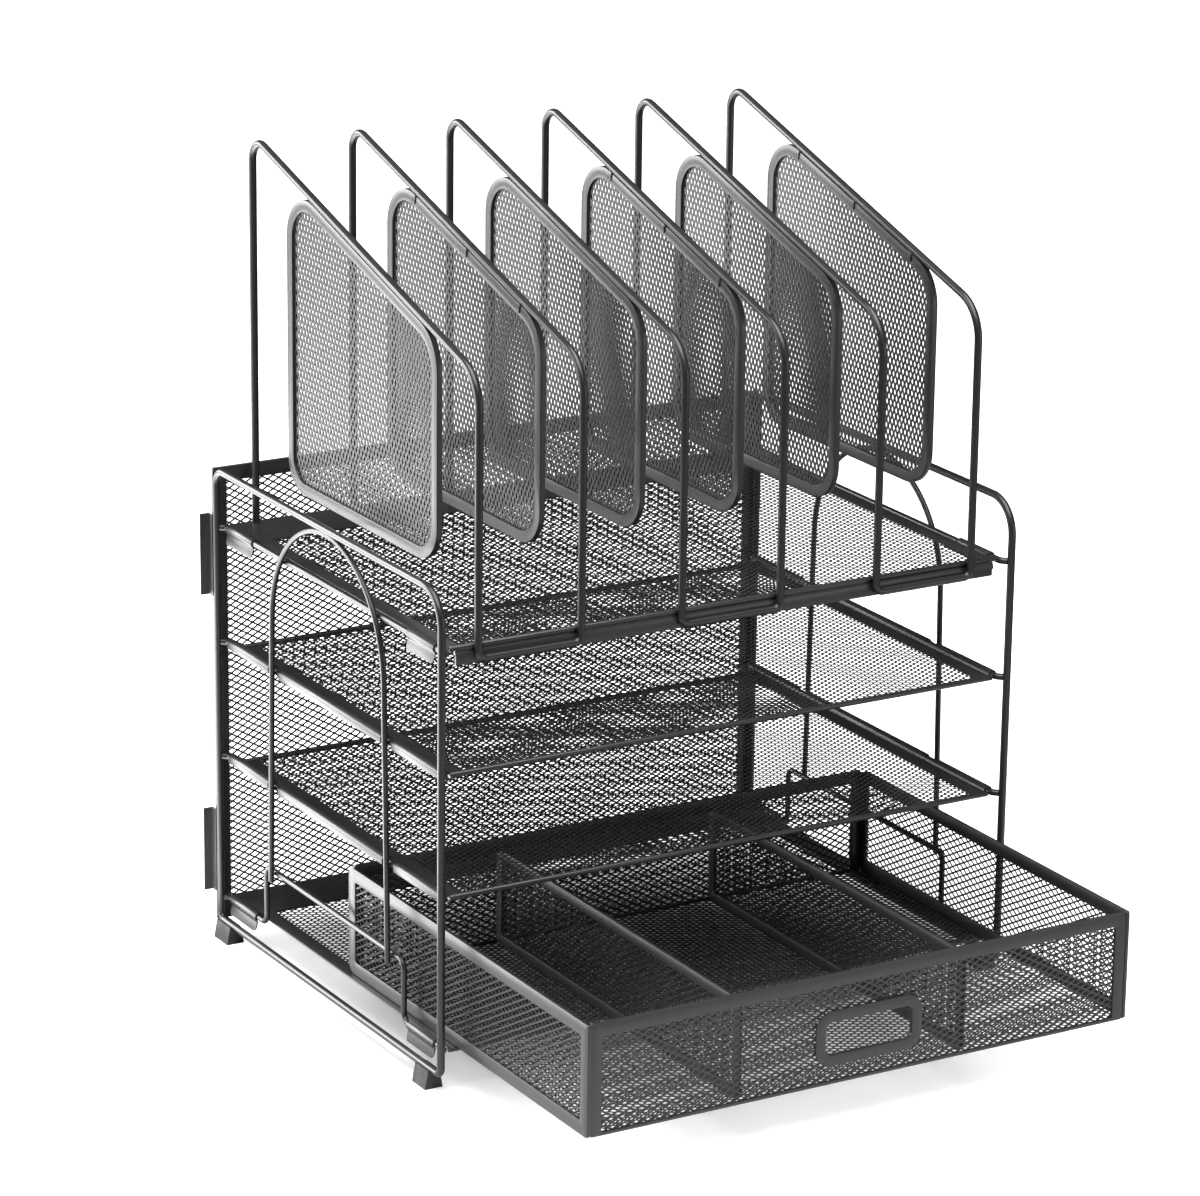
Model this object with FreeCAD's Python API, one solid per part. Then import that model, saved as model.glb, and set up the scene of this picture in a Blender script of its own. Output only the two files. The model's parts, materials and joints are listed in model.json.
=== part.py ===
"""Desk file sorter of bent steel wire and expanded-metal mesh, with a drawer in its base.

Frame of the part: +Z up, the front of the sorter looks along -Y, and the floor is z = 0.
The origin is the middle of the whole part's footprint, with the drawer pulled out as stored.
Lengths are in millimetres.
"""
import FreeCAD
import Part
import math
import os

V = FreeCAD.Vector
X_AXIS = V(1, 0, 0)
Y_AXIS = V(0, 1, 0)
Z_AXIS = V(0, 0, 1)
SIDES = {"left": -1, "right": 1}

# Overall layout
post_gap_x = 330.0            # between the side loops, post centre to post centre
post_gap_y = 244.4            # between front and rear posts, centre to centre
drawer_pull = 126.0           # how far out the drawer stands as stored
hook_reach = 3.2              # how far the rear hooks stand behind the back panel

# Wire
loop_r = 2.0                  # side loops
rail_r = 1.75                 # tray rails
arch_r = 1.5                  # arches
guard_r = 1.5                 # base rails, which rise into the drawer guards
divider_r = 2.0               # divider wires
weld_sink = 0.1               # how deep one round wire is welded into another
tack = 0.05                   # how deep a wire is tacked to sheet metal

# Sheet metal
sheet = 0.8                   # mesh and folded sheet
band = 7.0                    # width of the folded bands round a mesh panel
hem_r = 1.5                   # rolled front and rear edges of the trays
frame_thick = 1.8             # folded band over the mesh, both leaves together
sheet_corner = 1.5            # smallest rounding of a band's corners

# Expanded metal. Its cells are drawn larger than the real ones, so that a sheet has few enough.
cell_long = 6.5               # the real cell, bond to bond
cell_short = 3.65
most_across = 12              # cells across a sheet, either way
cell_open = 0.74              # share of a cell's width that is open
net_edge = 1.2                # plain edge of a sheet round its openings
smallest_opening = 5.0        # area below which a clipped opening is left closed

# Heights of wire centres
floor_rail_z = 9.4
base_rail_z = 21.0
guard_bar_z = 53.0
tray_rail_z = {"lower": 100.3, "middle": 163.5, "top": 225.7}
top_rail_z = 257.0

# Side loop corners
loop_front_bend = 18.0
loop_rear_bend = 8.0
loop_foot_bend = 4.0

# Rails run inside the posts and bend out to them at both ends
rail_inset = 4.2
rail_bend = 4.0

# Arches
arch_bend = 61.0
arch_foot_half = 64.5         # half the spread of the legs at their feet
arch_foot_drop = 4.0          # how far the legs reach below the guard bar

# Guards
guard_half = 76.0
guard_bend = 5.0

# Trays
side_band = 8.0
front_edge_inset = 3.0        # front edges stand this far behind the front posts' centres
shelf_rear_inset = 12.5       # middle and lower trays end short of the rear posts
tray_rear_inset = 0.8         # top and base trays reach back to the rear posts
rear_plate_depth = 34.0       # solid band at the back of the top and base trays
lip_drop = 2.0                # lips reach this far below the rail's centre
lip_notch = 12.0              # gap in a lip where an arch leg passes
lip_leaf = 0.5                # flat of a lip inside the rail, over the shelf's side band
lip_end_gap = 7.0             # lips stop this far short of the posts
clip_drop = 7.8
clip_tuck = 45.0              # degrees by which a clip closes under its rail
clip_lean = 15.0              # degrees by which its flap leans out
clip_bend = 1.6               # inside bend between the two
clip_corner = 2.5
clip_reach = 12.0             # more than half of a clip's width across the rail
clip_spans = ((86.0, 116.0), (-110.0, -82.0))
skirt_top = 3.0
skirt_drop = 7.0
skirt_groove = 0.9            # between the rolled front edge and the skirt's folded front leaf
skirt_half = 155.5

# Back panel
panel_half = 166.0
panel_bottom_z = 8.0
panel_band = 8.0
hook_spans = ((24.0, 70.0), (188.0, 232.0))
hook_leaf = 5.6

# Feet
foot_spans = ((-115.0, -101.5), (105.5, 121.0))
foot_top_width = 6.4
foot_bottom_width = 10.0
foot_top_z = 9.6              # each foot is pushed up round the lower half of the floor rail

# Dividers: three pairs of bent wire, each wire carrying a framed mesh leaf
divider_pitch = 57.0
divider_shift = -2.0          # the rack hangs a little left of the middle
divider_rear_y = 117.8
divider_rear_top_z = 432.0
divider_front_top_z = 360.4
divider_rear_bend = 10.0
divider_front_bend = 22.0
divider_foot_bend = 4.0
divider_bar_z = 221.0
leaf_rear_y = 76.9
leaf_front_y = -82.0
leaf_bottom_z = 256.5
leaf_band = 5.8
leaf_thick = 3.2
leaf_bends = (20.0, 18.0, 22.0, 24.0)
tab_places = (0.3, 0.525, 0.75)   # parts of the way down the sloping wire
tab_length = 2.6
tab_reach = 5.0
tab_thick = 0.6

# Drawer
drawer_half = 155.5
drawer_depth = 241.7
drawer_bottom_z = 22.2
drawer_top_z = 79.5
drawer_corner = 6.0
side_lead = 0.3               # the drawer's sides stand this far past its front and rear
end_band = 6.2                # upright bands of the front and rear, which stand between the sides
end_corner = 3.0
bottom_hem = 1.6
drawer_divider_x = {"left": -70.0, "right": 58.5}
drawer_divider_drop = 4.4     # below the drawer's rim
drawer_divider_band = 5.5
drawer_divider_bend = 4.0
pull_x = 2.0
pull_z = 46.0
pull_width = 61.0
pull_height = 28.5
pull_band = 5.6
pull_bend = 9.0
pull_proud = 0.5

# Values worked out from the ones above
post_x = post_gap_x / 2
rail_x = post_x - rail_inset
arch_x = rail_x + rail_r + arch_r - weld_sink
half_y = post_gap_y / 2
panel_front = half_y + loop_r
panel_rear = panel_front + frame_thick
box_front = -half_y - drawer_pull - pull_proud
box_rear = panel_rear + hook_reach
mid_y = -(box_front + box_rear) / 2   # the frame's own middle, seen from the part's origin


def at_y(y):
    """A place measured from the middle between front and rear posts, in the part's frame."""
    return mid_y + y


def rounded_edges(points, bends, closed=False):
    """Straight runs through the points, joined by tangent arcs of the given radii."""
    count = len(points)
    corners = range(count) if closed else range(1, count - 1)
    starts = {}
    ends = {}
    arcs = {}
    for i in corners:
        here = points[i]
        back = (points[i - 1] - here).normalize()
        ahead = (points[(i + 1) % count] - here).normalize()
        half_angle = back.getAngle(ahead) / 2
        reach = bends[i] / math.tan(half_angle)
        ends[i] = here + back * reach
        starts[i] = here + ahead * reach
        middle = here + (back + ahead).normalize() * (bends[i] / math.sin(half_angle) - bends[i])
        arcs[i] = Part.Arc(ends[i], middle, starts[i]).toShape()
    edges = []
    last = count if closed else count - 1
    for i in range(last):
        j = (i + 1) % count
        a = starts.get(i, points[i])
        b = ends.get(j, points[j])
        if (b - a).Length > tack / 10:
            edges.append(Part.LineSegment(a, b).toShape())
        if j in arcs:
            edges.append(arcs[j])
    return edges


def rounded_face(points, bends):
    """A flat face inside a closed outline with rounded corners."""
    return Part.Face(Part.Wire(Part.__sortEdges__(rounded_edges(points, bends, closed=True))))


def bent_wire(points, bends, radius, closed=False):
    """Round wire bent along the points: round bars joined by parts of a ring."""
    if not isinstance(bends, (list, tuple)):
        bends = [bends] * len(points)
    pieces = []
    for edge in rounded_edges(points, bends, closed):
        start = edge.valueAt(edge.FirstParameter)
        heading = edge.tangentAt(edge.FirstParameter)
        if isinstance(edge.Curve, Part.Line):
            pieces.append(Part.makeCylinder(radius, edge.Length, start, heading))
        else:
            section = Part.Face(Part.Wire([Part.makeCircle(radius, start, heading)]))
            turn = math.degrees(edge.Length / edge.Curve.Radius)
            pieces.append(section.revolve(edge.Curve.Center, edge.Curve.Axis, turn))
    return pieces[0].multiFuse(pieces[1:]).removeSplitter()


def box(x, y, z):
    """A block between two places on each axis."""
    return Part.makeBox(x[1] - x[0], y[1] - y[0], z[1] - z[0], V(x[0], y[0], z[0]))


def rod(radius, start, end):
    """A straight round bar."""
    return Part.makeCylinder(radius, (end - start).Length, start, end - start)


def upright_corners(side, y, z, x=None):
    """Four corners of an upright rectangle: across X at one y, or along Y at one x."""
    if x is None:
        return [V(side[0], y, z[0]), V(side[1], y, z[0]), V(side[1], y, z[1]), V(side[0], y, z[1])]
    return [V(x, y[0], z[0]), V(x, y[1], z[0]), V(x, y[1], z[1]), V(x, y[0], z[1])]


def level_corners(x, y, z):
    """Four corners of a level rectangle."""
    return [V(x[0], y[0], z), V(x[1], y[0], z), V(x[1], y[1], z), V(x[0], y[1], z)]


def shrunk(span, edge):
    """A span less an edge at both ends."""
    return span[0] + edge, span[1] - edge


def flat_face(corners):
    """A flat face inside straight edges."""
    return Part.Face(Part.makePolygon(corners + corners[:1]))


def diamonds(low, long_axis, short_axis, long_extent, short_extent):
    """Staggered diamonds over a rectangle, as many as most_across allows."""
    scale = max(long_extent / cell_long, short_extent / cell_short) / most_across
    long_count = math.floor(long_extent / (cell_long * scale) + tack)
    short_count = math.floor(short_extent / (cell_short * scale) + tack)
    half_long = long_axis * (long_extent / long_count / 2)
    half_short = short_axis * (short_extent / short_count / 2)
    faces = []
    for i in range(2 * long_count + 1):
        for j in range(i % 2, 2 * short_count + 1, 2):
            middle = low + half_long * i + half_short * j
            tips = [half_long, half_short, half_long * -1, half_short * -1]
            faces.append(flat_face([middle + tip * cell_open for tip in tips]))
    return faces


def net_sheet(plan, window, long_axis, short_axis, direction):
    """Sheet of expanded metal in the shape of the plan, with its openings inside the window."""
    bounds = window.BoundBox
    low = V(bounds.XMin, bounds.YMin, bounds.ZMin)
    reach = V(bounds.XLength, bounds.YLength, bounds.ZLength)
    cells = diamonds(low, long_axis, short_axis, reach.dot(long_axis), reach.dot(short_axis))
    clipped = Part.makeCompound(cells).common(window).Faces
    openings = [face.OuterWire for face in clipped if face.Area > smallest_opening]
    return Part.makeFace(plan.Wires + openings, "Part::FaceMakerBullseye").extrude(direction)


def level_net(x, y, z):
    """Level rectangle of expanded metal, with the long way of its cells along X."""
    plan = flat_face(level_corners(x, y, z))
    window = flat_face(level_corners(shrunk(x, net_edge), shrunk(y, net_edge), z))
    return net_sheet(plan, window, X_AXIS, Y_AXIS, Z_AXIS * sheet)


def save(name, *solids):
    """Write one node. A node of several separate pieces is a compound of them."""
    shape = solids[0] if len(solids) == 1 else Part.makeCompound(list(solids))
    shape.exportStep("parts/" + name + ".step")


# ---------------------------------------------------------------- side frames

def side_loop(sign):
    """Closed loop of wire: front post, top rail, rear post and floor rail."""
    x = sign * post_x
    corners = upright_corners(None, (at_y(-half_y), at_y(half_y)), (floor_rail_z, top_rail_z), x)
    bends = [loop_foot_bend, loop_foot_bend, loop_rear_bend, loop_front_bend]
    return bent_wire(corners, bends, loop_r, closed=True)


def rail_end(sign, end, z, radius):
    """Corner and tip of a rail where it turns out at 45 degrees to butt against a post."""
    post = V(sign * post_x, at_y(end * half_y), z)
    outward = V(sign, end, 0).normalize()
    tip = post - outward * (loop_r - weld_sink)
    corner = V(sign * rail_x, at_y(end * (half_y - rail_inset)), z)
    return corner, tip


def tray_rail(sign, z):
    """Rail for a tray, from the front post to the rear post."""
    front, front_tip = rail_end(sign, -1, z, rail_r)
    rear, rear_tip = rail_end(sign, 1, z, rail_r)
    return bent_wire([front_tip, front, rear, rear_tip], rail_bend, rail_r)


def base_rail(sign):
    """Rail for the base tray, which rises in the middle into a guard beside the drawer."""
    front, front_tip = rail_end(sign, -1, base_rail_z, guard_r)
    rear, rear_tip = rail_end(sign, 1, base_rail_z, guard_r)
    x = sign * rail_x
    guard = [
        V(x, at_y(-guard_half), base_rail_z),
        V(x, at_y(-guard_half), guard_bar_z),
        V(x, at_y(guard_half), guard_bar_z),
        V(x, at_y(guard_half), base_rail_z),
    ]
    bends = [0, rail_bend] + [guard_bend] * 4 + [rail_bend, 0]
    return bent_wire([front_tip, front] + guard + [rear, rear_tip], bends, guard_r)


def arch_top_z():
    """Height at which the arch is welded to the underside of the top rail."""
    apart = loop_r + arch_r - weld_sink
    return top_rail_z - math.sqrt(apart ** 2 - (post_x - arch_x) ** 2)


def arch_lean():
    """Angle by which each arch leg leans out, so that its foot meets the guard bar."""
    height = arch_top_z() - arch_bend - guard_bar_z
    return math.atan((arch_foot_half - arch_bend) / height)


def arch(sign):
    """Round-topped arch outside the rails, with both feet welded to the guard bar."""
    x = sign * arch_x
    centre_z = arch_top_z() - arch_bend
    lean = arch_lean()
    side_y = arch_bend * math.cos(lean)
    side_z = centre_z + arch_bend * math.sin(lean)
    foot_z = guard_bar_z - arch_foot_drop
    foot_y = side_y + (side_z - foot_z) * math.tan(lean)
    rear_foot = V(x, at_y(foot_y), foot_z)
    rear = V(x, at_y(side_y), side_z)
    crown = V(x, at_y(0), centre_z + arch_bend)
    front = V(x, at_y(-side_y), side_z)
    front_foot = V(x, at_y(-foot_y), foot_z)
    legs = [rod(arch_r, rear_foot, rear), rod(arch_r, front_foot, front)]
    curve = Part.Arc(rear, crown, front).toShape().Curve
    section = Part.Face(Part.Wire([Part.makeCircle(arch_r, rear, rear - rear_foot)]))
    bend = section.revolve(curve.Center, curve.Axis, 180 - 2 * math.degrees(lean))
    return bend.multiFuse(legs).removeSplitter()


def arch_leg_y(z):
    """Half the spread of the arch at a given height."""
    centre_z = arch_top_z() - arch_bend
    if z > centre_z:
        return math.sqrt(arch_bend ** 2 - (z - centre_z) ** 2)
    return arch_bend + (centre_z - z) * math.tan(arch_lean())


def foot(sign, span, loop):
    """Rubber foot, wedge-shaped in section, with the floor rail seated in its top."""
    x = sign * post_x
    outline = [
        V(x - foot_bottom_width / 2, at_y(span[0]), 0),
        V(x + foot_bottom_width / 2, at_y(span[0]), 0),
        V(x + foot_top_width / 2, at_y(span[0]), foot_top_z),
        V(x - foot_top_width / 2, at_y(span[0]), foot_top_z),
    ]
    block = Part.Face(Part.makePolygon(outline + outline[:1])).extrude(Y_AXIS * (span[1] - span[0]))
    return block.cut(loop)


# ---------------------------------------------------------------- trays

def hooked_profile(sign, y, z, drop, leaf, radius):
    """Section of a sheet edge rolled over a rail: flat leaf, half turn and a flap outside."""
    centre = V(sign * rail_x, y, z)
    inner = radius
    outer = radius + sheet
    inward = V(-sign, 0, 0)
    edges = [
        Part.LineSegment(centre + inward * (outer + leaf), centre + inward * outer).toShape(),
        Part.Arc(centre + inward * outer, centre + Z_AXIS * outer, centre - inward * outer).toShape(),
    ]
    flap_outer = centre - inward * outer - Z_AXIS * drop
    flap_inner = centre - inward * inner - Z_AXIS * drop
    edges.append(Part.LineSegment(centre - inward * outer, flap_outer).toShape())
    edges.append(Part.LineSegment(flap_outer, flap_inner).toShape())
    edges.append(Part.LineSegment(flap_inner, centre - inward * inner).toShape())
    edges.append(
        Part.Arc(centre - inward * inner, centre + Z_AXIS * inner, centre + inward * inner).toShape())
    heel = centre + inward * inner - Z_AXIS * sheet
    toe = centre + inward * (outer + leaf) - Z_AXIS * sheet
    edges.append(Part.LineSegment(centre + inward * inner, heel).toShape())
    edges.append(Part.LineSegment(heel, toe).toShape())
    edges.append(Part.LineSegment(toe, centre + inward * (outer + leaf)).toShape())
    return Part.Face(Part.Wire(Part.__sortEdges__(edges)))


def hooked_strip(sign, start, end, z, drop, leaf, radius):
    """Length of rolled sheet edge."""
    return hooked_profile(sign, at_y(start), z, drop, leaf, radius).extrude(Y_AXIS * (end - start))


def shelf_window():
    """Plan of a shelf's mesh: x and y limits, measured from the frame's middle."""
    x = rail_x - rail_r - sheet - side_band
    front = -half_y + front_edge_inset + 2 * hem_r
    rear = half_y - shelf_rear_inset - 2 * hem_r
    return x, front, rear


def shelf_rim(z):
    """Rim of a shelf: rolled lips that hook on the rails, and rolled front and rear edges."""
    x, front, rear = shelf_window()
    outer_x = rail_x - rail_r - sheet
    lip_start = -half_y + lip_end_gap
    lip_end = half_y - lip_end_gap
    leg_y = arch_leg_y(z)
    pieces = []
    for sign in SIDES.values():
        lip = hooked_strip(sign, lip_start, lip_end, z, lip_drop, lip_leaf, rail_r)
        for leg in (-leg_y, leg_y):
            gap = box(sorted((sign * (rail_x - rail_r), sign * (arch_x + 2 * arch_r))),
                      (at_y(leg - lip_notch / 2), at_y(leg + lip_notch / 2)),
                      (z - 2 * lip_drop, z + 2 * lip_drop))
            lip = lip.cut(gap)
        pieces.append(lip)
        pieces.append(box(sorted((sign * x, sign * outer_x)), (at_y(front - hem_r), at_y(rear + hem_r)),
                          (z - sheet, z)))
    for edge in (front - hem_r, rear + hem_r):
        pieces.append(rod(hem_r, V(-outer_x, at_y(edge), z - sheet / 2),
                          V(outer_x, at_y(edge), z - sheet / 2)))
    return pieces[0].multiFuse(pieces[1:]).removeSplitter()


def shelf_mesh(z):
    """Expanded-metal floor of a shelf."""
    x, front, rear = shelf_window()
    return level_net((-x, x), (at_y(front), at_y(rear)), z - sheet)


def tray_limits():
    """Plan of the top and base trays: outer half width, inner half width, front, plate edge, rear."""
    outer_x = rail_x - rail_r - sheet
    front = -half_y + front_edge_inset
    rear = half_y - tray_rear_inset
    return outer_x, outer_x - side_band, front, rear - rear_plate_depth, rear


def tray_rim(z, skirted):
    """Flat rim of the top or base tray, with a solid plate at the back and a rolled front edge."""
    outer_x, inner_x, front, plate, rear = tray_limits()
    hem_y = front + hem_r
    hem_z = z + skirt_top - hem_r if skirted else z + sheet - hem_r
    pieces = [box((-outer_x, outer_x), (at_y(plate), at_y(rear)), (z, z + sheet))]
    for sign in SIDES.values():
        pieces.append(box(sorted((sign * inner_x, sign * outer_x)), (at_y(hem_y), at_y(plate)),
                          (z, z + sheet)))
    pieces.append(rod(hem_r, V(-outer_x, at_y(hem_y), hem_z), V(outer_x, at_y(hem_y), hem_z)))
    if skirted:
        pieces.append(box((-skirt_half, skirt_half), (at_y(front), at_y(front + sheet)),
                          (z - skirt_drop, z - skirt_groove)))
        pieces.append(box((-skirt_half, skirt_half), (at_y(front + sheet), at_y(front + 2 * sheet)),
                          (z - skirt_drop, hem_z)))
        pieces.append(box((-outer_x, outer_x), (at_y(hem_y), at_y(hem_y + 2 * hem_r)), (z, z + sheet)))
    return pieces[0].multiFuse(pieces[1:]).removeSplitter()


def tray_mesh(z, skirted):
    """Expanded-metal floor of the top or base tray, inside its rim."""
    outer_x, inner_x, front, plate, rear = tray_limits()
    if skirted:
        start = front + 3 * hem_r
    else:
        start = front + hem_r + math.sqrt(hem_r ** 2 - (hem_r - sheet) ** 2)
    return level_net((-inner_x, inner_x), (at_y(start), at_y(plate)), z)


def clip_profile(sign, y, z, radius):
    """Section of a clip: leaf under the tray, roll over the rail, tuck below it and a leaning flap."""
    inner = radius
    outer = radius + sheet
    toe = outer + side_band
    tuck = math.radians(clip_tuck)
    lean = math.radians(clip_lean)
    bend_out = (outer + clip_bend) * math.cos(tuck)
    bend_up = -(outer + clip_bend) * math.sin(tuck)
    entry = math.pi - tuck
    departure = math.pi + lean
    halfway = (entry + departure) / 2

    def at(out, up):
        return V(sign * (rail_x + out), y, z + up)

    def round_rail(distance):
        return at(distance * math.cos(tuck), -distance * math.sin(tuck))

    def round_bend(distance, angle):
        return at(bend_out + distance * math.cos(angle), bend_up + distance * math.sin(angle))

    def arc(start, middle, end):
        return Part.Arc(start, middle, end).toShape()

    def line(start, end):
        return Part.LineSegment(start, end).toShape()

    outer_end = round_bend(clip_bend, departure)
    inner_end = round_bend(clip_bend + sheet, departure)
    flap_length = (outer_end.z - z + clip_drop) / math.cos(lean)
    flap = V(sign * math.sin(lean), 0, -math.cos(lean)) * flap_length
    edges = [
        line(at(-toe, 0), at(-outer, 0)),
        arc(at(-outer, 0), at(0, outer), round_rail(outer)),
        arc(round_rail(outer), round_bend(clip_bend, halfway), outer_end),
        line(outer_end, outer_end + flap),
        line(outer_end + flap, inner_end + flap),
        line(inner_end + flap, inner_end),
        arc(inner_end, round_bend(clip_bend + sheet, halfway), round_rail(inner)),
        arc(round_rail(inner), at(0, inner), at(-inner, 0)),
        line(at(-inner, 0), at(-inner, -sheet)),
        line(at(-inner, -sheet), at(-toe, -sheet)),
        line(at(-toe, -sheet), at(-toe, 0)),
    ]
    return Part.Face(Part.Wire(Part.__sortEdges__(edges)))


def tray_clips(z, radius):
    """Four plates under the corners of a tray, which hang it on its rails."""
    clips = []
    for sign in SIDES.values():
        inside = sign * (rail_x - radius - 2 * sheet - side_band)
        for start, end in clip_spans:
            strip = clip_profile(sign, at_y(start), z, radius).extrude(Y_AXIS * (end - start))
            outline = upright_corners(None, (at_y(start), at_y(end)),
                                      (z - clip_drop, z + radius + sheet + clip_corner), inside)
            plate = rounded_face(outline, [clip_corner] * 4).extrude(X_AXIS * sign * 2 * clip_reach)
            clips.append(strip.common(plate))
    return clips


# ---------------------------------------------------------------- back panel

def panel_frame():
    """Folded steel frame of the back panel."""
    outer = box((-panel_half, panel_half), (at_y(panel_front), at_y(panel_rear)),
                (panel_bottom_z, top_rail_z))
    inner = box((-panel_half + panel_band, panel_half - panel_band), (at_y(panel_front), at_y(panel_rear)),
                (panel_bottom_z + panel_band, top_rail_z - panel_band))
    return outer.cut(inner)


def panel_mesh():
    """Expanded-metal sheet inside the back panel's frame."""
    x = (-panel_half + panel_band, panel_half - panel_band)
    y = at_y((panel_front + panel_rear - sheet) / 2)
    z = (panel_bottom_z + panel_band, top_rail_z - panel_band)
    plan = flat_face(upright_corners(x, y, z))
    window = flat_face(upright_corners(shrunk(x, net_edge), y, shrunk(z, net_edge)))
    return net_sheet(plan, window, X_AXIS, Z_AXIS, Y_AXIS * sheet)


def panel_hook(sign, span):
    """Tab folded back from the side of the panel, with a short return at its end."""
    tab = box(sorted((sign * panel_half, sign * (panel_half + sheet))), (at_y(panel_front), at_y(box_rear)),
              span)
    lip = box(sorted((sign * panel_half, sign * (panel_half + hook_leaf))),
              (at_y(box_rear - sheet), at_y(box_rear)), span)
    return tab.fuse(lip).removeSplitter()


# ---------------------------------------------------------------- dividers

divider_front_y = -half_y + front_edge_inset - divider_r + tack


def divider_x(number):
    """Place of a divider, counted from the left."""
    return divider_shift + (number - 2.5) * divider_pitch


def divider_pair(first):
    """One wire bent into two dividers, joined by a bar along the front of the top tray."""
    foot_z = tray_rail_z["top"] + sheet - weld_sink
    left = divider_x(first)
    right = divider_x(first + 1)
    rear = at_y(divider_rear_y)
    front = at_y(divider_front_y)
    points = []
    points.append(V(left, rear, foot_z))
    points.append(V(left, rear, divider_rear_top_z))
    points.append(V(left, front, divider_front_top_z))
    points.append(V(left, front, divider_bar_z))
    points.append(V(right, front, divider_bar_z))
    points.append(V(right, front, divider_front_top_z))
    points.append(V(right, rear, divider_rear_top_z))
    points.append(V(right, rear, foot_z))
    bends = [0, divider_rear_bend, divider_front_bend, divider_foot_bend,
             divider_foot_bend, divider_front_bend, divider_rear_bend, 0]
    return bent_wire(points, bends, divider_r)


def slope():
    """Unit vector down the sloping wire, towards the front."""
    rear = V(0, divider_rear_y, divider_rear_top_z)
    front = V(0, divider_front_y, divider_front_top_z)
    return (front - rear).normalize()


def slope_z(y, below):
    """Height of a line under the sloping wire, at a distance square to it."""
    down = slope()
    rise = down.z / down.y
    return divider_rear_top_z + (y - divider_rear_y) * rise - below / abs(down.y)


def leaf_outline(x, inset):
    """Corners of a divider's leaf: level foot, upright ends and a top that follows the wire."""
    gap = divider_r - tack + inset
    rear = leaf_rear_y - inset
    front = leaf_front_y + inset
    bottom = leaf_bottom_z + inset
    corners = [
        V(x, at_y(front), bottom),
        V(x, at_y(rear), bottom),
        V(x, at_y(rear), slope_z(rear, gap)),
        V(x, at_y(front), slope_z(front, gap)),
    ]
    bends = [max(bend - inset, sheet_corner) for bend in leaf_bends]
    return corners, bends


def leaf_ring(x):
    """Folded steel band round a divider's mesh."""
    outer, outer_bends = leaf_outline(x - leaf_thick / 2, 0)
    inner, inner_bends = leaf_outline(x - leaf_thick / 2, leaf_band)
    plate = rounded_face(outer, outer_bends).extrude(X_AXIS * leaf_thick)
    window = rounded_face(inner, inner_bends).extrude(X_AXIS * leaf_thick)
    return plate.cut(window)


def leaf_mesh(x):
    """Mesh held inside the band of a divider."""
    plan = rounded_face(*leaf_outline(x - sheet / 2, leaf_band))
    window = rounded_face(*leaf_outline(x - sheet / 2, leaf_band + net_edge))
    return net_sheet(plan, window, Z_AXIS, Y_AXIS, X_AXIS * sheet)


def weld_tabs(x, facing):
    """Three small plates that join a leaf to the sloping wire above it."""
    down = slope()
    square = V(0, down.z, -down.y).normalize()
    if square.z > 0:
        square = square * -1
    start = V(0, divider_rear_y, divider_rear_top_z)
    length = (V(0, divider_front_y, divider_front_top_z) - start).Length
    face_x = x + facing * leaf_thick / 2
    # A tab's inner face stands off the wire's middle, so it meets the wire nearer than its radius.
    tab_start = math.sqrt(divider_r ** 2 - (leaf_thick / 2) ** 2) - tack
    tabs = []
    for place in tab_places:
        middle = start + down * (place * length)
        middle = V(face_x, at_y(middle.y), middle.z) + square * tab_start
        a = middle - down * (tab_length / 2)
        b = middle + down * (tab_length / 2)
        outline = [a, b, b + square * tab_reach, a + square * tab_reach, a]
        tabs.append(Part.Face(Part.makePolygon(outline)).extrude(X_AXIS * facing * tab_thick))
    return tabs


# ---------------------------------------------------------------- drawer

drawer_front = -half_y - drawer_pull
drawer_rear = drawer_front + drawer_depth


def window_frame(corners, bends, inner_corners, inner_bends, direction):
    """Flat frame: an outline with rounded corners, less its window."""
    plate = rounded_face(corners, bends).extrude(direction)
    window = rounded_face(inner_corners, inner_bends).extrude(direction)
    return plate.cut(window)


def drawer_side_outline(x, inset):
    """Outline of a drawer side, in the plane at one x."""
    y = (at_y(drawer_front - side_lead + inset), at_y(drawer_rear + side_lead - inset))
    z = (drawer_bottom_z + inset, drawer_top_z - inset)
    bend = max(drawer_corner - inset, sheet_corner)
    return upright_corners(None, y, z, x), [sheet_corner, bend, bend, sheet_corner]


def drawer_side_frame(sign):
    """Folded band round a drawer side."""
    x = sign * drawer_half - max(sign, 0) * frame_thick
    outer, outer_bends = drawer_side_outline(x, 0)
    inner, inner_bends = drawer_side_outline(x, band)
    return window_frame(outer, outer_bends, inner, inner_bends, X_AXIS * frame_thick)


def drawer_side_mesh(sign):
    """Mesh of a drawer side."""
    x = sign * (drawer_half - frame_thick / 2) - sheet / 2
    plan = rounded_face(*drawer_side_outline(x, band))
    window = rounded_face(*drawer_side_outline(x, band + net_edge))
    return net_sheet(plan, window, Y_AXIS, Z_AXIS, X_AXIS * sheet)


def drawer_end_outline(y, side, bottom, top):
    """Outline of the drawer's front or rear, in the plane at one y."""
    x = drawer_half - frame_thick - side
    corners = upright_corners((-x, x), y, (drawer_bottom_z + bottom, drawer_top_z - top))
    bend = max(end_corner - side, sheet_corner)
    return corners, [sheet_corner, sheet_corner, bend, bend]


def drawer_end_frame(y):
    """Folded band over the top and ends of the drawer's front or rear, with a thin bottom hem."""
    outer, outer_bends = drawer_end_outline(y, 0, 0, 0)
    inner, inner_bends = drawer_end_outline(y, end_band, bottom_hem, band)
    return window_frame(outer, outer_bends, inner, inner_bends, Y_AXIS * frame_thick)


def drawer_end_plan(y, edge):
    """Face inside the bands of the drawer's front or rear, less an edge of the given width."""
    return rounded_face(*drawer_end_outline(y, end_band + edge, bottom_hem + edge, band + edge))


def rear_mesh():
    """Mesh of the drawer's rear."""
    y = at_y(drawer_rear - frame_thick / 2 - sheet / 2)
    return net_sheet(drawer_end_plan(y, 0), drawer_end_plan(y, net_edge), X_AXIS, Z_AXIS, Y_AXIS * sheet)


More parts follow.
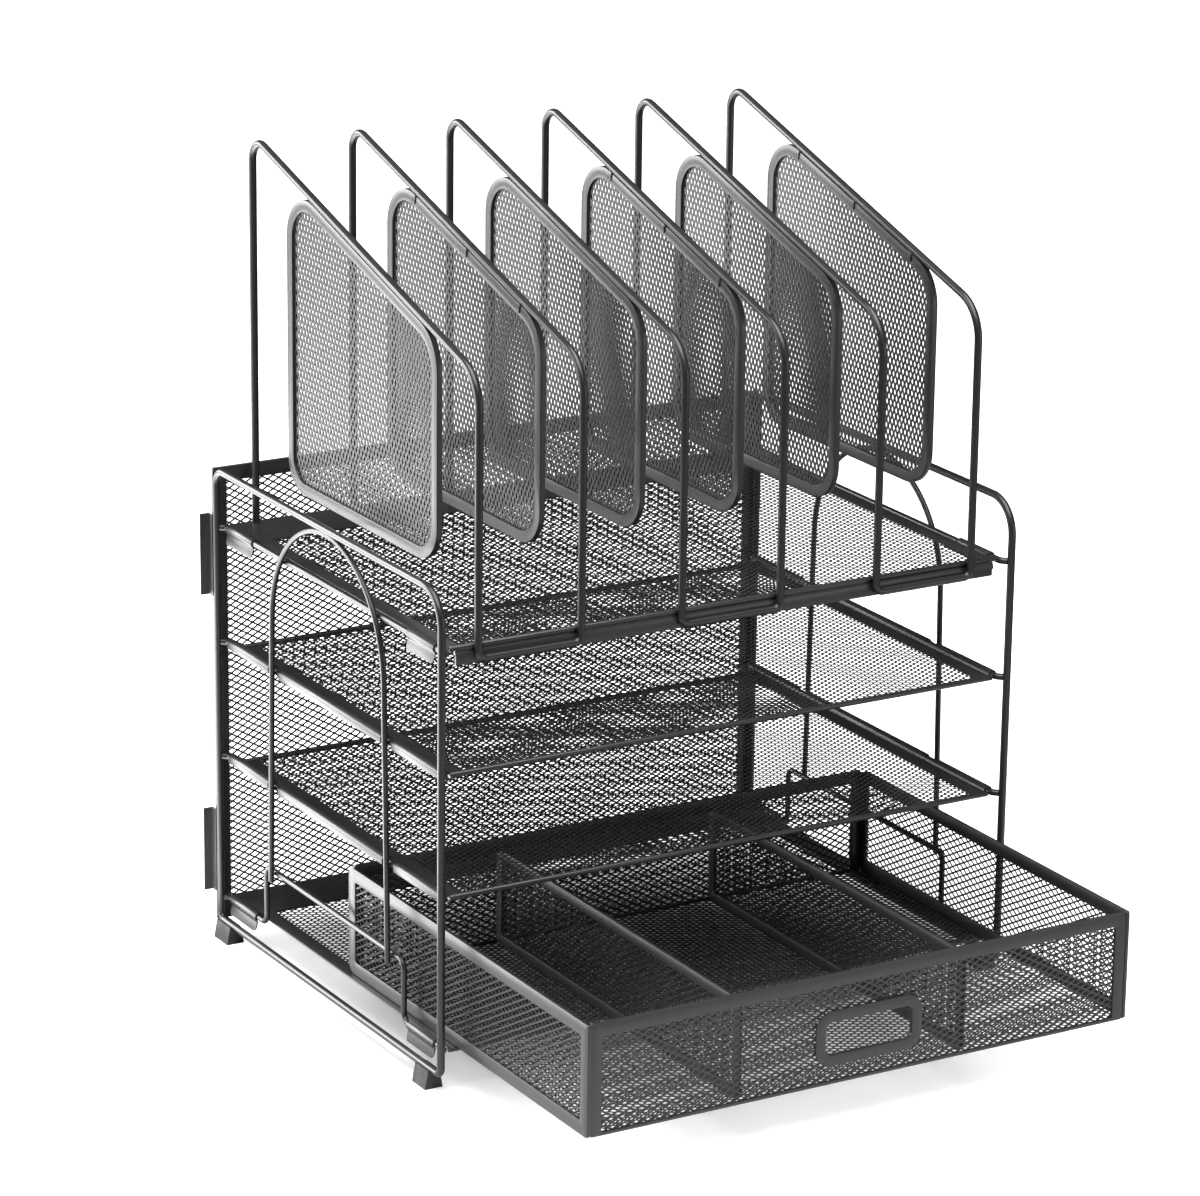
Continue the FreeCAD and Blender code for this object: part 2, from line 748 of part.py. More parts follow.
def pull_outline(y, inset):
    """Rounded outline of the finger pull."""
    half_w = pull_width / 2 - inset
    half_h = pull_height / 2 - inset
    corners = upright_corners((pull_x - half_w, pull_x + half_w), y, (pull_z - half_h, pull_z + half_h))
    return corners, [pull_bend - inset] * 4


front_mesh_y = drawer_front + (frame_thick - sheet) / 2


def pull_ring():
    """Steel eyelet that lines the finger hole in the drawer's front."""
    face_y = at_y(drawer_front - pull_proud)
    depth = front_mesh_y - drawer_front + pull_proud
    flange = window_frame(*pull_outline(face_y, 0), *pull_outline(face_y, pull_band), Y_AXIS * depth)
    sleeve = window_frame(*pull_outline(face_y, pull_band - sheet), *pull_outline(face_y, pull_band),
                          Y_AXIS * (depth + 2 * sheet))
    return flange.fuse(sleeve).removeSplitter()


def front_mesh():
    """Mesh of the drawer's front, with the finger hole."""
    y = at_y(front_mesh_y)
    plan = drawer_end_plan(y, 0).cut(rounded_face(*pull_outline(y, pull_band - sheet)))
    window = drawer_end_plan(y, net_edge).cut(rounded_face(*pull_outline(y, 0)))
    return net_sheet(plan, window, X_AXIS, Z_AXIS, Y_AXIS * sheet)


def drawer_floor():
    """Mesh floor of the drawer, between its walls."""
    inner = drawer_half - frame_thick
    y = (at_y(drawer_front + frame_thick), at_y(drawer_rear - frame_thick))
    return level_net((-inner, inner), y, drawer_bottom_z)


def drawer_divider_outline(x, inset):
    """Outline of a divider that stands across the drawer's floor, between front and rear."""
    y = (at_y(drawer_front + frame_thick + inset), at_y(drawer_rear - frame_thick - inset))
    z = (drawer_bottom_z + sheet + inset, drawer_top_z - drawer_divider_drop - inset)
    return upright_corners(None, y, z, x), [max(drawer_divider_bend - inset, sheet_corner)] * 4


def drawer_divider_ring(x):
    """Folded band round a drawer divider."""
    left = x - frame_thick / 2
    outer, outer_bends = drawer_divider_outline(left, 0)
    inner, inner_bends = drawer_divider_outline(left, drawer_divider_band)
    return window_frame(outer, outer_bends, inner, inner_bends, X_AXIS * frame_thick)


def drawer_divider_mesh(x):
    """Mesh of a drawer divider."""
    plan = rounded_face(*drawer_divider_outline(x - sheet / 2, drawer_divider_band))
    window = rounded_face(*drawer_divider_outline(x - sheet / 2, drawer_divider_band + net_edge))
    return net_sheet(plan, window, Y_AXIS, Z_AXIS, X_AXIS * sheet)


# ---------------------------------------------------------------- write the nodes

os.makedirs("parts", exist_ok=True)

feet = []
for side_name, side_sign in SIDES.items():
    loop = side_loop(side_sign)
    save(side_name + "_side_loop", loop)
    save(side_name + "_arch", arch(side_sign))
    save(side_name + "_base_rail", base_rail(side_sign))
    for level, rail_z in tray_rail_z.items():
        save(side_name + "_" + level + "_rail", tray_rail(side_sign, rail_z))
    for foot_span in foot_spans:
        feet.append(foot(side_sign, foot_span, loop))
    save("drawer_" + side_name + "_frame", drawer_side_frame(side_sign))
    save("drawer_" + side_name + "_mesh", drawer_side_mesh(side_sign))
    save("drawer_" + side_name + "_divider", drawer_divider_ring(drawer_divider_x[side_name]))
    save("drawer_" + side_name + "_divider_mesh", drawer_divider_mesh(drawer_divider_x[side_name]))
save("rubber_feet", *feet)

for level in ("lower", "middle"):
    save(level + "_shelf_rim", shelf_rim(tray_rail_z[level]))
    save(level + "_shelf_mesh", shelf_mesh(tray_rail_z[level]))
save("top_tray_rim", tray_rim(tray_rail_z["top"], True))
save("top_tray_mesh", tray_mesh(tray_rail_z["top"], True))
save("top_tray_clips", *tray_clips(tray_rail_z["top"], rail_r))
save("base_tray_rim", tray_rim(base_rail_z, False))
save("base_tray_mesh", tray_mesh(base_rail_z, False))
save("base_tray_clips", *tray_clips(base_rail_z, guard_r))

save("back_panel_frame", panel_frame())
save("back_panel_mesh", panel_mesh())
save("back_panel_hooks", *[panel_hook(s, span) for s in SIDES.values() for span in hook_spans])

tabs = []
for number in range(6):
    leaf_x = divider_x(number)
    save("divider_%d_ring" % (number + 1), leaf_ring(leaf_x))
    save("divider_%d_mesh" % (number + 1), leaf_mesh(leaf_x))
    inner_side = 1 if number % 2 == 0 else -1
    tabs.extend(weld_tabs(leaf_x, inner_side))
    if number % 2 == 0:
        save("divider_wire_%d" % (number // 2 + 1), divider_pair(number))
save("divider_weld_tabs", *tabs)

save("drawer_front_frame", drawer_end_frame(at_y(drawer_front)))
save("drawer_front_mesh", front_mesh())
save("drawer_rear_frame", drawer_end_frame(at_y(drawer_rear - frame_thick)))
save("drawer_rear_mesh", rear_mesh())
save("drawer_floor_mesh", drawer_floor())
save("drawer_pull_ring", pull_ring())
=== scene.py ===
"""Dresses the desk file sorter: expanded-metal nets, softened edges, paint, rubber and studio."""
import bmesh
import bpy
import json
import math
from mathutils import Matrix, Vector
from mathutils.bvhtree import BVHTree
from mathutils.geometry import tessellate_polygon


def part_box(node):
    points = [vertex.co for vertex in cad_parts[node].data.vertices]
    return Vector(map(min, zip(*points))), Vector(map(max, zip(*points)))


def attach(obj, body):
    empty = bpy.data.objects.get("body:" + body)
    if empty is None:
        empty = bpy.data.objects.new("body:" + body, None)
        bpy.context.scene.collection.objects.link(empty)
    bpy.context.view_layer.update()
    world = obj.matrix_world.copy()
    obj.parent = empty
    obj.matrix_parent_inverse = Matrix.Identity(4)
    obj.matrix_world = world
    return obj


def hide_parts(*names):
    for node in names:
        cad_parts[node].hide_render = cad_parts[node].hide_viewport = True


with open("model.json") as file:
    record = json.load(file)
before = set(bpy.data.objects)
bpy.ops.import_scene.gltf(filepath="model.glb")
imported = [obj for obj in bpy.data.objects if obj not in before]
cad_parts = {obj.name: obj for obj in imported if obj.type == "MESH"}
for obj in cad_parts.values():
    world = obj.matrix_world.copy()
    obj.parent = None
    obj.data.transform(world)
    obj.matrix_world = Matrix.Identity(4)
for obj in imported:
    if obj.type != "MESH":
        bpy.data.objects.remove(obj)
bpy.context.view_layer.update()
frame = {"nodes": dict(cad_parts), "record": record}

MM = 0.001
X_AXIS = Vector((1, 0, 0))
Y_AXIS = Vector((0, 1, 0))
Z_AXIS = Vector((0, 0, 1))

# CAD meshes
MERGE_DISTANCE = 0.002 * MM               # corners nearer than this are one corner
FACING = 0.9                              # least cosine of a face that faces along an axis
COARSE_CELL = 700 * MM * MM               # area above that of any diamond of the CAD sheets' own coarse net

# Expanded metal: a net of staggered diamonds cut and stretched from one sheet
CELL = (6.5 * MM, 3.65 * MM)              # from bond to bond, the long and the short way of a diamond
PANEL_CELL = (6.4 * MM, 3.75 * MM)        # the back panel's is stretched a little more
LEAF_CELL = (6.25 * MM, 3.5 * MM)         # and the dividers' are a little finer
BOND_LONG = 0.85 * MM                     # half length of a bond, the long way
BOND_SHORT = 0.6 * MM                     # half width of a bond, the short way
STRAND_THICK = 0.46 * MM
STRAND_TILT = 0.27 * MM                   # how far stretching lifts one edge of a strand, and sinks the other

# The edge of each strand that is lifted, with the share and sign of STRAND_TILT that lifts it
FRONT_EDGE_UP = -1
TOP_EDGE_FORWARD = 1
TOP_EDGE_LEFT = -1
REAR_EDGE_LEFT = 0.35

# How far a net's bonds may lie outside its CAD sheet, and how far its grid reaches past the sheet's box
PLAIN_EDGE = (0.7 * MM, 0.0)
PANEL_EDGE = (2 * MM, 1.5 * MM)
LEAF_EDGE = (3 * MM, 3 * MM)

# Softened edges of folded and cut sheet metal
CUT_RADIUS = 0.2 * MM
CUT_STEPS = 2
FLAT_ANGLE = math.radians(1)              # faces that meet at less are one flat face
CREASE_ANGLE = math.radians(35)           # edges that turn by more are softened
SHADE_ANGLE = math.radians(30)            # edges that turn by more after that are shaded sharp

# Powder coat. A noise is a scale per metre and a detail, and a spread is the part of it that counts
PEEL_NOISE = (900, 2)                     # orange-peel grain
PEEL_HEIGHT = 0.04 * MM
CLOUD_NOISE = (28, 3)                     # slow change of gloss, which also sets where dust and painted top light lie
DUST_AND_TOP_LIGHT_SPREAD = (0.35, 0.75)
DUST_AND_TOP_LIGHT_RISE = (0.2, 1.0)                    # height of a face's normal where the dust and painted top light begin, and where most lie
SPECK_NOISE = (2600, 1)
SPECK_SPREAD = (0.42, 0.62)
SPECK_SHADE = (0.72, 0.72, 0.74, 1)       # what the paint is multiplied by in a speck
COAT_ROUGHNESS = 0.28
STEEL_SPECULAR = 0.5

# Rubber
SCUFF_NOISE = (160, 4)                    # worn places
SCUFF_SPREAD = (0.45, 0.8)
GRAIN_NOISE = (2200, 2)                   # moulded grain
GRAIN_HEIGHT = 0.05 * MM
GRAIN_RELIEF = 0.4
RUBBER_BLACK = (0.016, 0.016, 0.017, 1)
RUBBER_SCUFF = (0.06, 0.06, 0.06, 1)
RUBBER_ROUGHNESS = (0.34, 0.52)
RUBBER_SPECULAR = 0.5

# Floor and room, with distances from the middle of the floor
FLOOR_HALF = 6                            # half the floor's width
FLOOR_SQUARES = 8
FLOOR_WHITE = (0.9, 0.9, 0.9, 1)
FLOOR_ROUGHNESS = 0.95
FLOOR_SPECULAR = 0.1
WHITE = (1, 1, 1, 1)
GLOW_REACH = (0.12, 0.25)                 # where the floor's own light begins, and where it is full
LIT_POOL_EDGE = (0.3, 0.7)                   # painted pool of light round the sorter, seen only by the metal: where it begins to fade, and where it ends
LIT_POOL_TO_METAL = 0.8                      # the floor's painted light for the metal before it fades,
FLOOR_TO_METAL = 0.12                     # and after
ROOM_TO_METAL = 0.06                      # the room's light on the metal, where the camera sees 1

# Name, place, target, width, height and power of each softbox
SOFTBOXES = (
    ("left_back_softbox", (-1.7, 1.8, 0.67), (0, 0.1, 0.25), 2.6, 1.3, 112),
    ("left_back_bounce", (-0.5, 0.62, 0.005), (-0.5, 0.62, 1), 0.6, 1.0, 12),
    ("top_softbox", (-0.4, -0.6, 2.4), (0, 0, 0), 2.4, 2.4, 110),
    ("front_fill", (0.85, -1.25, 0.3), (0, 0, 0.2), 1.0, 0.5, 3),
)

# Camera
CAMERA_PLACE = Vector((-1.2337, -2.0311, 0.9602))
CAMERA_AZIMUTH = math.radians(-30.42)
CAMERA_ELEVATION = math.radians(17.46)
CAMERA_ROLL = math.radians(0.70)
LENS = 148.07
SENSOR = 36


# ---------------------------------------------------------------- pieces

def give_paint(mesh, slot_name):
    """Gives a mesh its slot's material and no other."""
    mesh.materials.clear()
    mesh.materials.append(PAINTS[slot_name])


def body_of_node(node):
    """The body that carries a CAD node."""
    for body, names in frame["record"]["behaviour"]["bodies"].items():
        if node in names:
            return body
    raise ValueError(node)


def new_piece(name, mesh, body, slot_name, *replaced):
    """Puts a finished mesh in the scene, on its body, in place of CAD nodes."""
    piece = bpy.data.objects.new(name, mesh)
    bpy.context.scene.collection.objects.link(piece)
    give_paint(mesh, slot_name)
    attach(piece, body)
    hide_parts(*replaced)


# ---------------------------------------------------------------- node helpers

def new_material(name):
    """A material, its nodes, its links and its shader."""
    material = bpy.data.materials.new(name)
    material.use_nodes = True
    nodes, links = material.node_tree.nodes, material.node_tree.links
    return material, nodes, links, nodes["Principled BSDF"]


def group_sockets(group, inputs, outputs):
    """Names the sockets of a node group and returns its two ends."""
    for name, kind, value in inputs:
        socket = group.interface.new_socket(name, in_out="INPUT", socket_type=kind)
        socket.default_value = value
    for name, kind in outputs:
        group.interface.new_socket(name, in_out="OUTPUT", socket_type=kind)
    return group.nodes.new("NodeGroupInput"), group.nodes.new("NodeGroupOutput")


def add_noise(nodes, links, coordinates, scale, detail):
    """A noise texture on object coordinates."""
    texture = nodes.new("ShaderNodeTexNoise")
    texture.inputs["Scale"].default_value = scale
    texture.inputs["Detail"].default_value = detail
    links.new(coordinates, texture.inputs["Vector"])
    return texture.outputs["Fac"]


def add_range(nodes, links, value, low, high, low_result=0.0, high_result=1.0):
    """Maps part of a value's range on to another range."""
    mapped = nodes.new("ShaderNodeMapRange")
    mapped.inputs["From Min"].default_value = low
    mapped.inputs["From Max"].default_value = high
    mapped.inputs["To Min"].default_value = low_result
    mapped.inputs["To Max"].default_value = high_result
    links.new(value, mapped.inputs["Value"])
    return mapped.outputs["Result"]


def add_product(nodes, links, first, second):
    """Multiplies two values."""
    product = nodes.new("ShaderNodeMath")
    product.operation = "MULTIPLY"
    links.new(first, product.inputs[0])
    links.new(second, product.inputs[1])
    return product.outputs["Value"]


def add_mix(nodes, links, factor):
    """A mix of two colours, A and B, which the caller sets or links."""
    mix = nodes.new("ShaderNodeMix")
    mix.data_type = "RGBA"
    links.new(factor, mix.inputs["Factor"])
    return mix


def add_relief(nodes, links, height, strength, distance, shader):
    """Fine bumps on a shader's surface."""
    bump = nodes.new("ShaderNodeBump")
    bump.inputs["Strength"].default_value = strength
    bump.inputs["Distance"].default_value = distance
    links.new(height, bump.inputs["Height"])
    links.new(bump.outputs["Normal"], shader.inputs["Normal"])


# ---------------------------------------------------------------- paint and rubber

def powder_coat_group():
    """Sprayed powder coat: orange-peel grain, slow cloudiness, and a paler colour on upward faces that is
    partly settled dust and partly painted top light.
    """
    group = bpy.data.node_groups.new("powder_coat", "ShaderNodeTree")
    inputs = (
        ("Paint", "NodeSocketColor", (0.02, 0.02, 0.022, 1)),
        ("Dust_And_Top_Light", "NodeSocketColor", (0.16, 0.155, 0.15, 1)),
        ("Dust_And_Top_Light Amount", "NodeSocketFloat", 0.05),
        ("Gloss Side", "NodeSocketFloat", 0.3),
        ("Matt Side", "NodeSocketFloat", 0.45),
    )
    outputs = (
        ("Color", "NodeSocketColor"),
        ("Roughness", "NodeSocketFloat"),
        ("Height", "NodeSocketFloat"),
    )
    start, end = group_sockets(group, inputs, outputs)
    nodes, links = group.nodes, group.links
    place = nodes.new("ShaderNodeTexCoord").outputs["Object"]
    peel = add_noise(nodes, links, place, *PEEL_NOISE)
    cloud = add_noise(nodes, links, place, *CLOUD_NOISE)
    speck = add_noise(nodes, links, place, *SPECK_NOISE)

    facing = nodes.new("ShaderNodeSeparateXYZ")
    links.new(nodes.new("ShaderNodeNewGeometry").outputs["Normal"], facing.inputs["Vector"])
    # Paler colour on upward faces: partly settled dust, partly painted top light
    upward = add_range(nodes, links, facing.outputs["Z"], *DUST_AND_TOP_LIGHT_RISE)
    patchy = add_product(nodes, links, upward, add_range(nodes, links, cloud, *DUST_AND_TOP_LIGHT_SPREAD))
    dust_and_top_light_share = add_product(nodes, links, patchy, start.outputs["Dust_And_Top_Light Amount"])

    shade = add_mix(nodes, links, add_range(nodes, links, speck, *SPECK_SPREAD))
    shade.blend_type = "MULTIPLY"
    shade.inputs["B"].default_value = SPECK_SHADE
    links.new(start.outputs["Paint"], shade.inputs["A"])
    with_dust_and_top_light = add_mix(nodes, links, dust_and_top_light_share)
    links.new(shade.outputs["Result"], with_dust_and_top_light.inputs["A"])
    links.new(start.outputs["Dust_And_Top_Light"], with_dust_and_top_light.inputs["B"])
    links.new(with_dust_and_top_light.outputs["Result"], end.inputs["Color"])

    gloss = nodes.new("ShaderNodeMapRange")
    links.new(cloud, gloss.inputs["Value"])
    links.new(start.outputs["Gloss Side"], gloss.inputs["To Min"])
    links.new(start.outputs["Matt Side"], gloss.inputs["To Max"])
    links.new(gloss.outputs["Result"], end.inputs["Roughness"])
    links.new(peel, end.inputs["Height"])
    return group


def painted(name, group, paint, gloss_side, matt_side, dust_and_top_light, relief, coat):
    """A material of powder-coated steel, whose roughness varies between its glossier and matter side."""
    material, nodes, links, shader = new_material(name)
    shader.inputs["Specular IOR Level"].default_value = STEEL_SPECULAR
    shader.inputs["Coat Weight"].default_value = coat
    shader.inputs["Coat Roughness"].default_value = COAT_ROUGHNESS
    coating = nodes.new("ShaderNodeGroup")
    coating.node_tree = group
    coating.inputs["Paint"].default_value = (*paint, 1)
    coating.inputs["Gloss Side"].default_value = gloss_side
    coating.inputs["Matt Side"].default_value = matt_side
    # the paler colour on upward faces is partly dust and partly painted top light
    coating.inputs["Dust_And_Top_Light Amount"].default_value = dust_and_top_light
    links.new(coating.outputs["Color"], shader.inputs["Base Color"])
    links.new(coating.outputs["Roughness"], shader.inputs["Roughness"])
    add_relief(nodes, links, coating.outputs["Height"], relief, PEEL_HEIGHT, shader)
    return material


def moulded_rubber():
    """Black rubber of the feet, with a fine moulded grain and paler scuffs."""
    material, nodes, links, shader = new_material("moulded_rubber")
    shader.inputs["Specular IOR Level"].default_value = RUBBER_SPECULAR
    place = nodes.new("ShaderNodeTexCoord").outputs["Object"]
    scuff = add_noise(nodes, links, place, *SCUFF_NOISE)
    grain = add_noise(nodes, links, place, *GRAIN_NOISE)
    colour = add_mix(nodes, links, add_range(nodes, links, scuff, *SCUFF_SPREAD))
    colour.inputs["A"].default_value = RUBBER_BLACK
    colour.inputs["B"].default_value = RUBBER_SCUFF
    links.new(colour.outputs["Result"], shader.inputs["Base Color"])
    links.new(add_range(nodes, links, scuff, 0, 1, *RUBBER_ROUGHNESS), shader.inputs["Roughness"])
    add_relief(nodes, links, grain, GRAIN_RELIEF, GRAIN_HEIGHT, shader)
    return material


powder_coat = powder_coat_group()
# Each paint's dust amount also sets the painted top light on its upward faces
PAINTS = {
    "black_wire": painted("black_wire", powder_coat, (0.020, 0.020, 0.022),
                          gloss_side=0.26, matt_side=0.40, dust_and_top_light=0.05, relief=0.25, coat=0.3),
    "black_sheet": painted("black_sheet", powder_coat, (0.026, 0.026, 0.028),
                           gloss_side=0.30, matt_side=0.46, dust_and_top_light=0.08, relief=0.35, coat=0.3),
    "black_mesh": painted("black_mesh", powder_coat, (0.024, 0.024, 0.026),
                          gloss_side=0.28, matt_side=0.44, dust_and_top_light=0.08, relief=0.20, coat=0.2),
    "rubber_foot": moulded_rubber(),
}


# ---------------------------------------------------------------- expanded metal

def outline_area(outline):
    """Area inside a flat closed outline."""
    turns = sum((a.cross(b) for a, b in zip(outline, outline[1:] + outline[:1])), Vector())
    return turns.length / 2


def face_loops(node, axis):
    """Closed outlines, largest first, on the side of a flat CAD sheet that faces along the axis."""
    work = bmesh.new()
    work.from_mesh(frame["nodes"][node].data)
    bmesh.ops.remove_doubles(work, verts=work.verts, dist=MERGE_DISTANCE)
    work.normal_update()
    side = {face for face in work.faces if face.normal.dot(axis) > FACING}
    after = {}
    for face in side:
        for loop in face.loops:
            if sum(near in side for near in loop.edge.link_faces) == 1:
                after[loop.vert] = loop.link_loop_next.vert
    loops = []
    while after:
        start, vert = after.popitem()
        outline = [start.co.copy()]
        while vert is not start:
            outline.append(vert.co.copy())
            vert = after.pop(vert)
        loops.append(outline)
    work.free()
    return sorted(loops, key=lambda outline: -outline_area(outline))


def sheet_tree(node, axis):
    """Search tree over a CAD sheet with its coarse diamonds filled, and any larger hole left open."""
    outer, *inner = face_loops(node, axis)
    outlines = [outer] + [outline for outline in inner if outline_area(outline) > COARSE_CELL]
    corners = [corner for outline in outlines for corner in outline]
    return BVHTree.FromPolygons(corners, tessellate_polygon(outlines))


def net_mesh(name, place, cols, rows, step_long, step_short, tilt, kept):
    """Mesh of a net, with its bonds on a staggered grid and a strand between neighbours.

    place turns (long way, short way, out of the sheet) into a point, and kept says which bonds there stay.
    """
    corners = (
        (0, BOND_SHORT, tilt),
        (BOND_LONG, 0, 0),
        (0, -BOND_SHORT, -tilt),
        (-BOND_LONG, 0, 0),
    )
    north, east, south, west = range(4)
    under = len(corners)                  # from a corner of a bond's upper face to the one below it
    first = {}
    points = []
    for i in range(cols + 1):
        for j in range(rows + 1):
            a, b = i * step_long, j * step_short
            if (i + j) % 2 or not kept(place(a, b, 0)):
                continue
            first[i, j] = len(points)
            for out in (STRAND_THICK / 2, -STRAND_THICK / 2):
                for da, db, lift in corners:
                    points.append(place(a + da, b + db, lift + out))
    faces = []

    def strand(near, far, right_near, right_far, left_far, left_near):
        """A strand from one bond to the next: its two faces and its two cut edges."""
        rn, rf = near + right_near, far + right_far
        ln, lf = near + left_near, far + left_far
        faces.append((rn, rf, lf, ln))
        faces.append((ln + under, lf + under, rf + under, rn + under))
        faces.append((rn + under, rf + under, rf, rn))
        faces.append((lf + under, ln + under, ln, lf))

    for (i, j), base in first.items():
        faces.append((base + east, base + north, base + west, base + south))
        faces.append(tuple(base + under + corner for corner in (south, west, north, east)))
        ahead = first.get((i + 1, j + 1))
        if ahead is not None:
            strand(base, ahead, east, south, west, north)
        back = first.get((i - 1, j + 1))
        if back is not None:
            strand(base, back, north, east, south, west)
        ends = ((1, 1, east, north), (-1, 1, north, west), (-1, -1, west, south), (1, -1, south, east))
        for di, dj, a, b in ends:
            if (i + di, j + dj) not in first:
                faces.append((base + a + under, base + b + under, base + b, base + a))
    mesh = bpy.data.meshes.new(name)
    mesh.from_pydata(points, [], faces)
    mesh.update()
    return mesh


def net(node, long_axis, short_axis, cell, lean, margin, grow):
    """Expanded-metal net in place of a coarse CAD sheet, with its edges under the bands round it.

    A bond stays where it is within margin of the sheet, and the grid reaches grow past the sheet's box.
    """
    low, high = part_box(node)
    middle = (low + high) / 2
    out_axis = long_axis.cross(short_axis)
    reach = (high - low) / 2
    half_long = abs(reach.dot(long_axis)) + grow
    half_short = abs(reach.dot(short_axis)) + grow
    cols = round(2 * half_long / (cell[0] / 2))
    rows = round(2 * half_short / (cell[1] / 2))
    step_long = 2 * half_long / cols
    step_short = 2 * half_short / rows
    corner = middle - long_axis * half_long - short_axis * half_short
    tree = sheet_tree(node, out_axis)

    def place(a, b, out):
        """The point that is a along the long way, b along the short way and out of the sheet."""
        return corner + long_axis * a + short_axis * b + out_axis * out

    def kept(point):
        """Whether a bond at the point stays."""
        return tree.find_nearest(point)[3] <= margin

    name = node.replace("_mesh", "") + "_net"
    mesh = net_mesh(name, place, cols, rows, step_long, step_short, lean * STRAND_TILT, kept)
    new_piece(name, mesh, body_of_node(node), "black_mesh", node)


# ---------------------------------------------------------------- sheet metal

def softened(node, slot_name):
    """A copy of a sheet-metal node with softened edges, in its place."""
    mesh = bpy.data.meshes.new(node + "_folded")
    work = bmesh.new()
    work.from_mesh(frame["nodes"][node].data)
    bmesh.ops.remove_doubles(work, verts=work.verts, dist=MERGE_DISTANCE)
    bmesh.ops.dissolve_limit(work, angle_limit=FLAT_ANGLE, verts=work.verts, edges=work.edges)
    sharp = [e for e in work.edges if len(e.link_faces) == 2 and e.calc_face_angle() > CREASE_ANGLE]
    bmesh.ops.bevel(work, geom=sharp, offset=CUT_RADIUS, segments=CUT_STEPS, profile=0.5, affect="EDGES",
                    clamp_overlap=True)
    bmesh.ops.triangulate(work, faces=[f for f in work.faces if len(f.verts) > 4])
    work.to_mesh(mesh)
    work.free()
    for face in mesh.polygons:
        face.use_smooth = True
    mesh.set_sharp_from_angle(angle=SHADE_ANGLE)
    new_piece(node + "_folded", mesh, body_of_node(node), slot_name, node)


# ---------------------------------------------------------------- studio

def pale_floor_material():
    """Pale floor that glows to the camera away from the sorter, and shows the metal a painted pool of light
    near the sorter that dims further off.
    """
    material, nodes, links, shader = new_material("pale_floor")
    shader.inputs["Roughness"].default_value = FLOOR_ROUGHNESS
    shader.inputs["Specular IOR Level"].default_value = FLOOR_SPECULAR
    shader.inputs["Emission Color"].default_value = WHITE
    seen = nodes.new("ShaderNodeLightPath").outputs["Is Camera Ray"]
    distance = nodes.new("ShaderNodeVectorMath")
    distance.operation = "LENGTH"
    links.new(nodes.new("ShaderNodeTexCoord").outputs["Object"], distance.inputs[0])
    away = distance.outputs["Value"]
    # painted pool of light on the floor, seen only by the metal
    fading = add_range(nodes, links, away, *LIT_POOL_EDGE, LIT_POOL_TO_METAL, FLOOR_TO_METAL)
    tone = add_mix(nodes, links, seen)
    tone.inputs["B"].default_value = FLOOR_WHITE
    links.new(fading, tone.inputs["A"])
    links.new(tone.outputs["Result"], shader.inputs["Base Color"])
    glow = add_product(nodes, links, add_range(nodes, links, away, *GLOW_REACH), seen)
    links.new(glow, shader.inputs["Emission Strength"])
    return material


def studio():
    """Pale floor in a room that is white to the camera and dimmer to the metal."""
    mesh = bpy.data.meshes.new("floor")
    work = bmesh.new()
    bmesh.ops.create_grid(work, x_segments=FLOOR_SQUARES, y_segments=FLOOR_SQUARES, size=FLOOR_HALF)
    work.to_mesh(mesh)
    work.free()
    floor = bpy.data.objects.new("floor", mesh)
    bpy.context.scene.collection.objects.link(floor)
    mesh.materials.append(pale_floor_material())

    world = bpy.data.worlds.new("studio")
    bpy.context.scene.world = world
    world.use_nodes = True
    nodes, links = world.node_tree.nodes, world.node_tree.links
    background = nodes["Background"]
    background.inputs["Color"].default_value = WHITE
    seen = nodes.new("ShaderNodeLightPath").outputs["Is Camera Ray"]
    links.new(add_range(nodes, links, seen, 0, 1, ROOM_TO_METAL, 1), background.inputs["Strength"])
    bpy.context.scene.view_settings.view_transform = "Standard"


def soft_light(name, place, target, width, height, power):
    """A rectangular softbox."""
    light = bpy.data.lights.new(name, "AREA")
    light.shape = "RECTANGLE"
    light.size = width
    light.size_y = height
    light.energy = power
    lamp = bpy.data.objects.new(name, light)
    lamp.location = place
    lamp.rotation_euler = (Vector(target) - Vector(place)).to_track_quat("-Z", "Y").to_euler()
    bpy.context.scene.collection.objects.link(lamp)


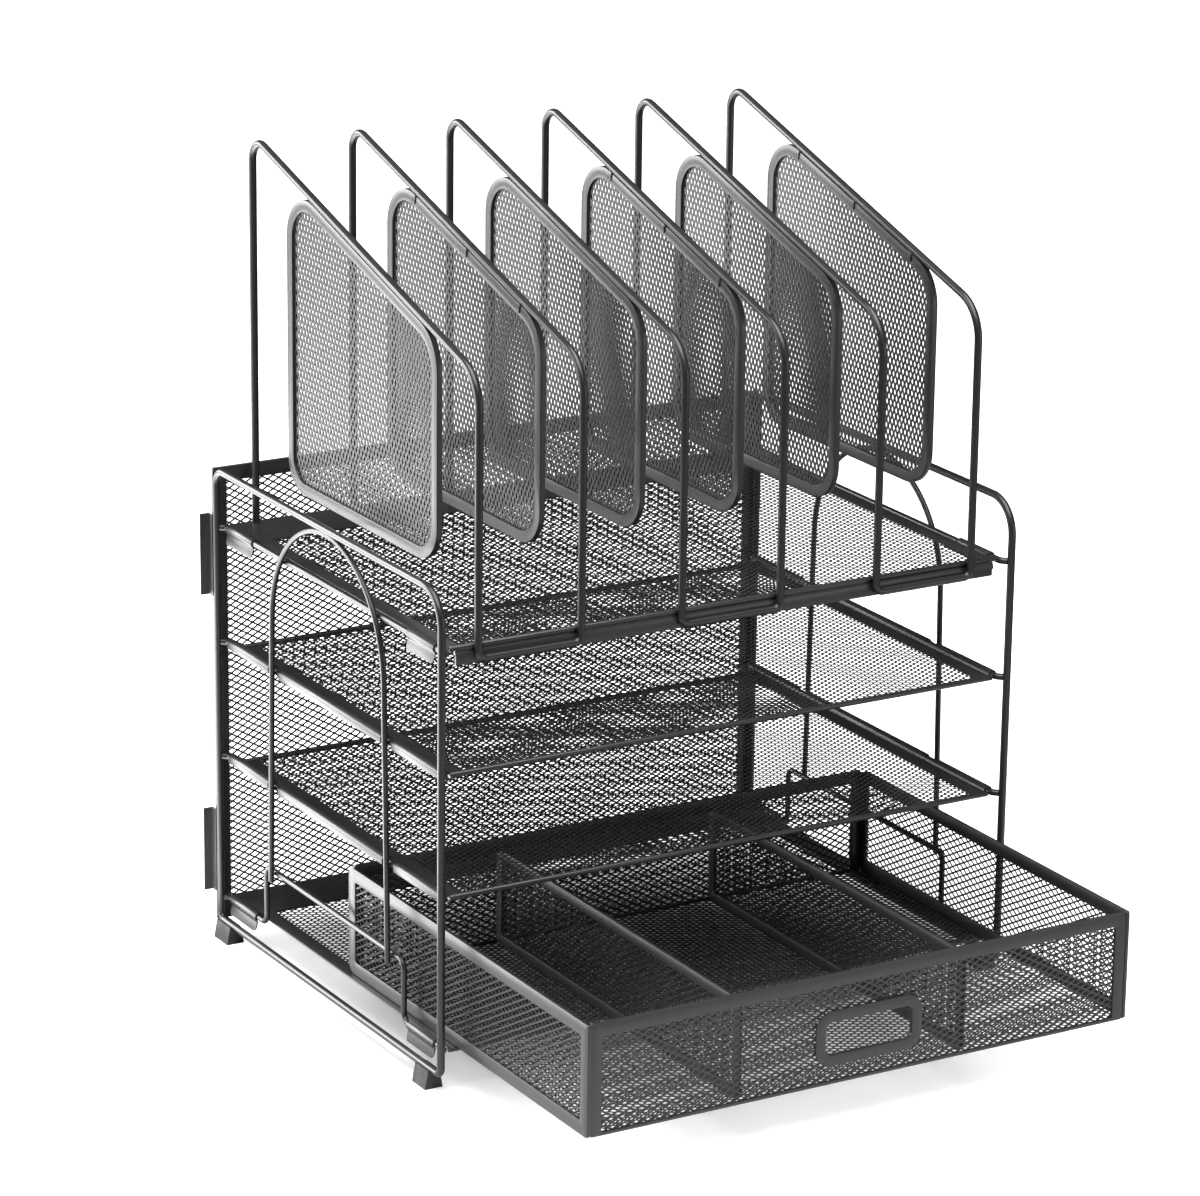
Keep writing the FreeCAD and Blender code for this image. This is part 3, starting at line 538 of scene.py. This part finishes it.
def camera():
    """Camera at the sorter's front left, a little above it."""
    data = bpy.data.cameras.new("camera")
    data.lens = LENS
    data.sensor_fit = "HORIZONTAL"
    data.sensor_width = SENSOR
    lens = bpy.data.objects.new("camera", data)
    bpy.context.scene.collection.objects.link(lens)
    a, e = CAMERA_AZIMUTH, CAMERA_ELEVATION
    back = Vector((math.sin(a) * math.cos(e), -math.cos(a) * math.cos(e), math.sin(e)))
    right = Vector((math.cos(a), math.sin(a), 0))
    up = back.cross(right)
    tilted = math.cos(CAMERA_ROLL) * right + math.sin(CAMERA_ROLL) * up
    upright = back.cross(tilted)
    lens.matrix_world = Matrix((
        (tilted.x, upright.x, back.x, CAMERA_PLACE.x),
        (tilted.y, upright.y, back.y, CAMERA_PLACE.y),
        (tilted.z, upright.z, back.z, CAMERA_PLACE.z),
        (0, 0, 0, 1),
    ))
    bpy.context.scene.camera = lens


# ---------------------------------------------------------------- dress the sorter

for level in ("lower_shelf", "middle_shelf", "top_tray", "base_tray"):
    net(level + "_mesh", X_AXIS, Y_AXIS, CELL, FRONT_EDGE_UP, *PLAIN_EDGE)
net("back_panel_mesh", X_AXIS, Z_AXIS, PANEL_CELL, TOP_EDGE_FORWARD, *PANEL_EDGE)
for number in range(1, 7):
    net("divider_%d_mesh" % number, Z_AXIS, Y_AXIS, LEAF_CELL, REAR_EDGE_LEFT, *LEAF_EDGE)
net("drawer_floor_mesh", X_AXIS, Y_AXIS, CELL, FRONT_EDGE_UP, *PLAIN_EDGE)
for end in ("front", "rear"):
    net("drawer_%s_mesh" % end, X_AXIS, Z_AXIS, CELL, TOP_EDGE_FORWARD, *PLAIN_EDGE)
for side in ("left", "right"):
    net("drawer_%s_mesh" % side, Y_AXIS, Z_AXIS, CELL, TOP_EDGE_LEFT, *PLAIN_EDGE)
    net("drawer_%s_divider_mesh" % side, Y_AXIS, Z_AXIS, CELL, TOP_EDGE_LEFT, *PLAIN_EDGE)

slots = {subpart["node"]: subpart["material_slot"] for subpart in frame["record"]["subparts"]}
for node, part in frame["nodes"].items():
    if part.hide_render:
        continue
    if slots[node] == "black_sheet":
        softened(node, slots[node])
    else:
        give_paint(part.data, slots[node])

studio()
for softbox in SOFTBOXES:
    soft_light(*softbox)
camera()
